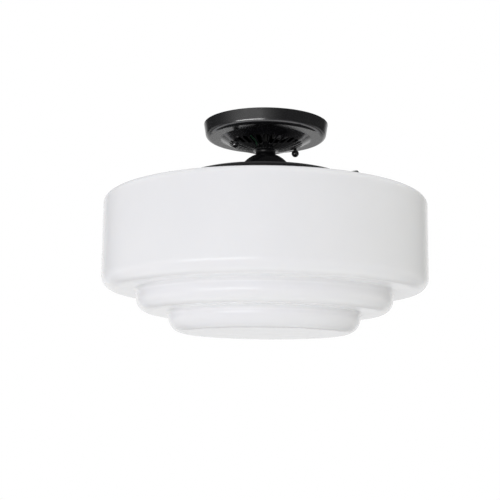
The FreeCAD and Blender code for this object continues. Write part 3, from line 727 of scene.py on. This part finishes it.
def lamp():
    """The pear shaped envelope and its threaded cap."""
    neck = lamp_cap_radius - 0.6 * MM
    bulge = globe_high.x
    flare_top = cap_low.z - 5.0 * MM
    flare_foot = flare_top - 28 * MM
    flare_bend, bulge_bend = 10 * MM, 25 * MM
    face = []
    for inset in (0.0, globe_wall):
        wall, foot = bulge - inset, globe_low.z + inset
        face.append([(neck - inset, globe_high.z, 0), (neck - inset, flare_top, flare_bend + inset),
                     (wall, flare_foot, bulge_bend - inset),
                     (wall, foot, wall - 0.1 * MM), (0, foot, 0)])
    path = np.concatenate([outline(face[1])[::-1], outline(face[0])])
    turned_piece("pear_globe", path, 96, finishes["frosted_glass"], "lamp", "frosted_glass",
                 ["lamp_globe"])
    piece_from("threaded_lamp_cap", *cap_surface(), finishes["lamp_metal"], "lamp", "lamp_metal",
               ["lamp_cap"])


def cap_surface():
    """The cap's side has a round thread: r = R - d (0.5 - 0.5 cos) of the height
    less the turn. The inside is plain."""
    wall = 0.5 * MM
    depth = 0.9 * MM
    shoulder = cap_high.z - 2.4 * MM
    sleeve_top = cap_low.z + 3 * MM
    fade_length = 2 * MM
    columns = 72
    angle = np.linspace(0, 2 * math.pi, columns, endpoint=False)[None, :]
    z = np.linspace(shoulder - 1 * MM, sleeve_top, 48)
    fade = np.clip(np.minimum(z - z[-1], z[0] - z) / fade_length, 0, 1)[:, None]
    phase = 2 * math.pi * (z[:, None] / lamp_pitch) - angle
    side = lamp_cap_radius - depth * fade * (0.5 - 0.5 * np.cos(phase))
    inner = lamp_cap_radius - depth - wall
    ends = np.array([(0, cap_high.z), (8.5 * MM, cap_high.z),
                     (lamp_cap_radius - 0.3 * MM, shoulder)])
    foot = np.array([(lamp_cap_radius, cap_low.z + 0.2 * MM),
                     (lamp_cap_radius - 0.2 * MM, cap_low.z),
                     (lamp_cap_radius - wall, cap_low.z),
                     (lamp_cap_radius - wall, sleeve_top),
                     (inner, cap_low.z + 4 * MM), (inner, shoulder - wall), (0, shoulder - wall)])
    r = np.concatenate([ends[:, :1] + 0 * angle, side, foot[:, :1] + 0 * angle])
    height = np.concatenate([ends[:, 1], z, foot[:, 1]])[:, None]
    return on_turn(r, height, angle), grid_faces(len(r), columns, False)


def screw_shell():
    """A rolled brass shell with a round thread: both faces bulge outwards by
    d (0.5 + 0.5 cos) of the height less the turn."""
    bore, wall, depth = 13.45 * MM, 0.6 * MM, 0.6 * MM
    window = 8.0 * MM
    columns = 72
    angle = np.linspace(0, 2 * math.pi, columns, endpoint=False)[None, :]
    z = np.linspace(shell_high.z - 2 * MM, shell_low.z, 48)
    phase = 2 * math.pi * (z[:, None] / lamp_pitch) - angle
    wave = depth * (0.5 + 0.5 * np.cos(phase))
    outer = bore + wall + wave
    inner = (bore + wave)[::-1]
    top = np.full((1, columns), 1.0)
    r = np.concatenate([window * top, (bore + wall) * top, outer, inner, bore * top, window * top])
    height = np.concatenate([[shell_high.z] * 2, z, z[::-1], [shell_high.z - wall] * 2])[:, None]
    piece_from("rolled_screw_shell", on_turn(r, height, angle), grid_faces(len(r), columns, True),
               finishes["brass"], "fixture", "brass", ["screw_shell"])


# Camera, floor and light

photo_size = 500
focal_pixels = 1000.0
pixels_per_metre = 792.6
camera_elevation = 0.1612
camera_roll = 0.0091
sensor_width = 36.0
aim_height = drum_foot + 60.0 * MM
aim_pixel = (264.8, 245.8)


def photo_camera():
    """The photograph's view from below. The aim point on the axis falls on aim_pixel,
    which the camera's turn away from it brings about, with no shift."""
    distance = focal_pixels / pixels_per_metre
    rise, level = math.sin(camera_elevation), math.cos(camera_elevation)
    data = bpy.data.cameras.new("photo_camera")
    camera = bpy.data.objects.new("photo_camera", data)
    bpy.context.scene.collection.objects.link(camera)
    data.sensor_width = sensor_width
    data.lens = focal_pixels * sensor_width / photo_size
    base = Matrix(((1, 0, 0), (0, -rise, -level), (0, level, -rise)))
    half = photo_size / 2
    ray = Vector(((aim_pixel[0] - half) / focal_pixels, (half - aim_pixel[1]) / focal_pixels, -1))
    turn = Vector((0, 0, -1)).rotation_difference(ray).to_matrix()
    rotation = base @ Matrix.Rotation(camera_roll, 3, "Z") @ turn.inverted()
    place = Vector((0, -distance * level, aim_height - distance * rise))
    camera.matrix_world = Matrix.Translation(place) @ rotation.to_4x4()
    bpy.context.scene.camera = camera


def floor():
    """A pale floor, far below the light, which reflections see as a darker one."""
    size, height = 5.0, -1.9
    mesh = bpy.data.meshes.new("pale_floor")
    corners = [(x * size, y * size, height) for x, y in ((-1, -1), (1, -1), (1, 1), (-1, 1))]
    mesh.from_pydata(corners, [], [(0, 1, 2, 3)])
    material, tree, shader = new_material("pale_floor")
    colour_between(tree, shader, noise(tree, 2.0), (0.80, 0.80, 0.80), (0.82, 0.82, 0.82))
    shader.inputs["Roughness"].default_value = 0.8
    shaded = tree.nodes.new("ShaderNodeBsdfDiffuse")
    shaded.inputs["Color"].default_value = (0.2, 0.2, 0.2, 1)
    path = tree.nodes.new("ShaderNodeLightPath")
    mix = tree.nodes.new("ShaderNodeMixShader")
    tree.links.new(path.outputs["Is Glossy Ray"], mix.inputs["Fac"])
    tree.links.new(shader.outputs["BSDF"], mix.inputs[1])
    tree.links.new(shaded.outputs["BSDF"], mix.inputs[2])
    tree.links.new(mix.outputs["Shader"], tree.nodes["Material Output"].inputs["Surface"])
    mesh.materials.append(material)
    ground = bpy.data.objects.new("pale_floor", mesh)
    bpy.context.scene.collection.objects.link(ground)


def world():
    """White behind the light for the camera, softer as a light. In reflections it is a
    studio: a white backdrop behind the light, a brighter side toward bright_side, a
    pale ceiling, a pale floor toward the backdrop, and dark walls between them."""
    lit_strength = 0.69
    bright_side = (-0.56, -0.83, 0.0)
    sky = bpy.data.worlds.new("white_room")
    bpy.context.scene.world = sky
    sky.use_nodes = True
    tree = sky.node_tree
    tree.nodes.clear()
    out = tree.nodes.new("ShaderNodeOutputWorld")
    seen = tree.nodes.new("ShaderNodeBackground")
    lit = tree.nodes.new("ShaderNodeBackground")
    seen.inputs["Color"].default_value = (1, 1, 1, 1)
    lit.inputs["Color"].default_value = (1.0, 1.0, 1.0, 1)
    lit.inputs["Strength"].default_value = lit_strength
    path = tree.nodes.new("ShaderNodeLightPath")
    mix = tree.nodes.new("ShaderNodeMixShader")
    room = tree.nodes.new("ShaderNodeTexCoord")
    toward = tree.nodes.new("ShaderNodeVectorMath")
    toward.operation = "DOT_PRODUCT"
    toward.inputs[1].default_value = bright_side
    split = tree.nodes.new("ShaderNodeSeparateXYZ")
    tree.links.new(room.outputs["Generated"], toward.inputs[0])
    tree.links.new(room.outputs["Generated"], split.inputs["Vector"])
    back, up = split.outputs["Y"], split.outputs["Z"]
    camera_ray = path.outputs["Is Camera Ray"]

    def ramp(value, start, end, first, last):
        return mapped(tree, value, start, end, first, last).outputs["Result"]

    def larger(first, second):
        return worked(tree, "MAXIMUM", first, second)

    def times(first, second):
        return worked(tree, "MULTIPLY", first, second)

    near = ramp(toward.outputs["Value"], 0.3, 1.0, 0.0, 1.0)
    side = ramp(times(near, near), 0.0, 1.0, 0.05, 0.36)
    below = times(ramp(up, -0.05, -0.22, 0.0, 0.46), ramp(back, -0.1, 0.4, 0.1, 1.0))
    above = ramp(up, 0.15, 0.6, 0.0, 0.6)
    backdrop = times(ramp(back, 0.75, 0.92, 0.0, 1.0), ramp(up, -0.30, -0.12, 0.4, 0.84))
    strength = larger(larger(larger(side, below), larger(above, camera_ray)), backdrop)
    bright = larger(larger(camera_ray, path.outputs["Is Glossy Ray"]),
                    path.outputs["Is Transmission Ray"])
    tree.links.new(strength, seen.inputs["Strength"])
    tree.links.new(bright, mix.inputs["Fac"])
    tree.links.new(lit.outputs[0], mix.inputs[1])
    tree.links.new(seen.outputs[0], mix.inputs[2])
    tree.links.new(mix.outputs[0], out.inputs["Surface"])


def ceiling():
    """A dark sheet of painted shade that stands in for the ceiling over the canopy, so that the
    vents look into shade. It is drawn just under the crossbar. A camera above sees through it, and
    the share passing of the light from above comes through."""
    height = -2.3 * MM
    passing = 0.125
    radius = canopy_radius - canopy_sheet + height * canopy_wall_lean / canopy_wall_depth
    angle = np.linspace(0, 2 * math.pi, 192, endpoint=False)
    rim = np.stack([radius * np.cos(angle), -radius * np.sin(angle), 0 * angle + height], -1)
    mesh = bpy.data.meshes.new("ceiling_patch")
    mesh.from_pydata(rim.tolist(), [], [list(range(len(angle)))])
    material, tree, shader = new_material("ceiling_patch")
    # painted shade: the camera sees this near-black sheet from below as the shade inside the canopy
    colour_between(tree, shader, noise(tree, 20.0), (0.004, 0.004, 0.004), (0.006, 0.006, 0.006))
    shader.inputs["Roughness"].default_value = 1.0
    shader.inputs["Specular IOR Level"].default_value = 0.0
    clear = tree.nodes.new("ShaderNodeBsdfTransparent")
    path = tree.nodes.new("ShaderNodeLightPath")
    share = mapped(tree, path.outputs["Is Camera Ray"], 0.0, 1.0, passing, 0.0)
    front = tree.nodes.new("ShaderNodeMixShader")
    side = tree.nodes.new("ShaderNodeNewGeometry")
    both = tree.nodes.new("ShaderNodeMixShader")
    tree.links.new(share.outputs["Result"], front.inputs["Fac"])
    tree.links.new(shader.outputs["BSDF"], front.inputs[1])
    tree.links.new(clear.outputs["BSDF"], front.inputs[2])
    tree.links.new(side.outputs["Backfacing"], both.inputs["Fac"])
    tree.links.new(front.outputs["Shader"], both.inputs[1])
    tree.links.new(clear.outputs["BSDF"], both.inputs[2])
    tree.links.new(both.outputs["Shader"], tree.nodes["Material Output"].inputs["Surface"])
    mesh.materials.append(material)
    patch = bpy.data.objects.new("ceiling_patch", mesh)
    bpy.context.scene.collection.objects.link(patch)


def lamp_at(name, place, size, radiance, colour=(1.0, 1.0, 1.0), mirrored=False, lights=None):
    """A soft rectangular lamp that faces the glass. Its power follows from its radiance
    and its area. It lights only the objects of lights, if these are given."""
    aim = (0.0, 0.0, -0.15)
    data = bpy.data.lights.new(name, "AREA")
    data.shape = "RECTANGLE"
    data.size, data.size_y = size
    data.energy = radiance * math.pi * size[0] * size[1]
    data.color = colour
    lamp_object = bpy.data.objects.new(name, data)
    bpy.context.scene.collection.objects.link(lamp_object)
    lamp_object.location = place
    lamp_object.rotation_euler = (Vector(aim) - Vector(place)).to_track_quat("-Z", "Y").to_euler()
    lamp_object.visible_camera = False
    lamp_object.visible_glossy = mirrored
    if lights:
        lamp_object.light_linking.receiver_collection = lights


def group(name, members):
    """A collection that only lists the members."""
    collection = bpy.data.collections.new(name)
    for member in members:
        collection.objects.link(member)
    return collection


def studio():
    """Soft lamps round the light, and a strip low on the camera's left, which gloss
    mirrors. The metal sees the strip at its full strength. For the glass it is half as
    bright, so that its mirror image does not burn out, and strip_fill, which nothing
    mirrors, gives the rest of its light."""
    shade_piece = bpy.data.objects["opal_shade"]
    meshes = [piece for piece in bpy.data.objects if piece.type == "MESH"]
    glass_pieces = [shade_piece]
    metal_pieces = [piece for piece in meshes if piece != shade_piece]
    strip_place, strip_size = (-0.84, -1.46, -0.55), (1.6, 0.35)
    floor()
    world()
    ceiling()
    lamp_at("front_right_softbox", (1.5, -1.7, -0.3), (1.4, 1.4), 0.33, (1.0, 1.0, 1.1))
    lamp_at("right_softbox", (2.1, -0.5, -0.2), (1.4, 1.4), 0.60, (1.0, 1.0, 0.6))
    lamp_at("back_left_softbox", (-1.8, 1.2, -0.2), (1.6, 1.6), 1.8)
    lamp_at("floor_softbox", (0.0, -0.1, -1.6), (3.0, 3.0), 0.18)
    lamp_at("top_softbox", (0.0, 0.0, 1.8), (2.0, 2.0), 0.8)
    lamp_at("low_strip", strip_place, strip_size, 5.0, mirrored=True,
            lights=group("under_low_strip", metal_pieces))
    lamp_at("soft_strip", strip_place, strip_size, 2.4, mirrored=True,
            lights=group("under_soft_strip", glass_pieces))
    lamp_at("strip_fill", strip_place, strip_size, 2.5,
            lights=group("under_strip_fill", glass_pieces))


paint_frame()
shade()
canopy()
neck_ring()
domed_cap()
gallery()
ball_nuts()
thumbscrews()
rods()
lamp()
screw_shell()
studio()
photo_camera()
bpy.context.scene.view_settings.view_transform = "Standard"
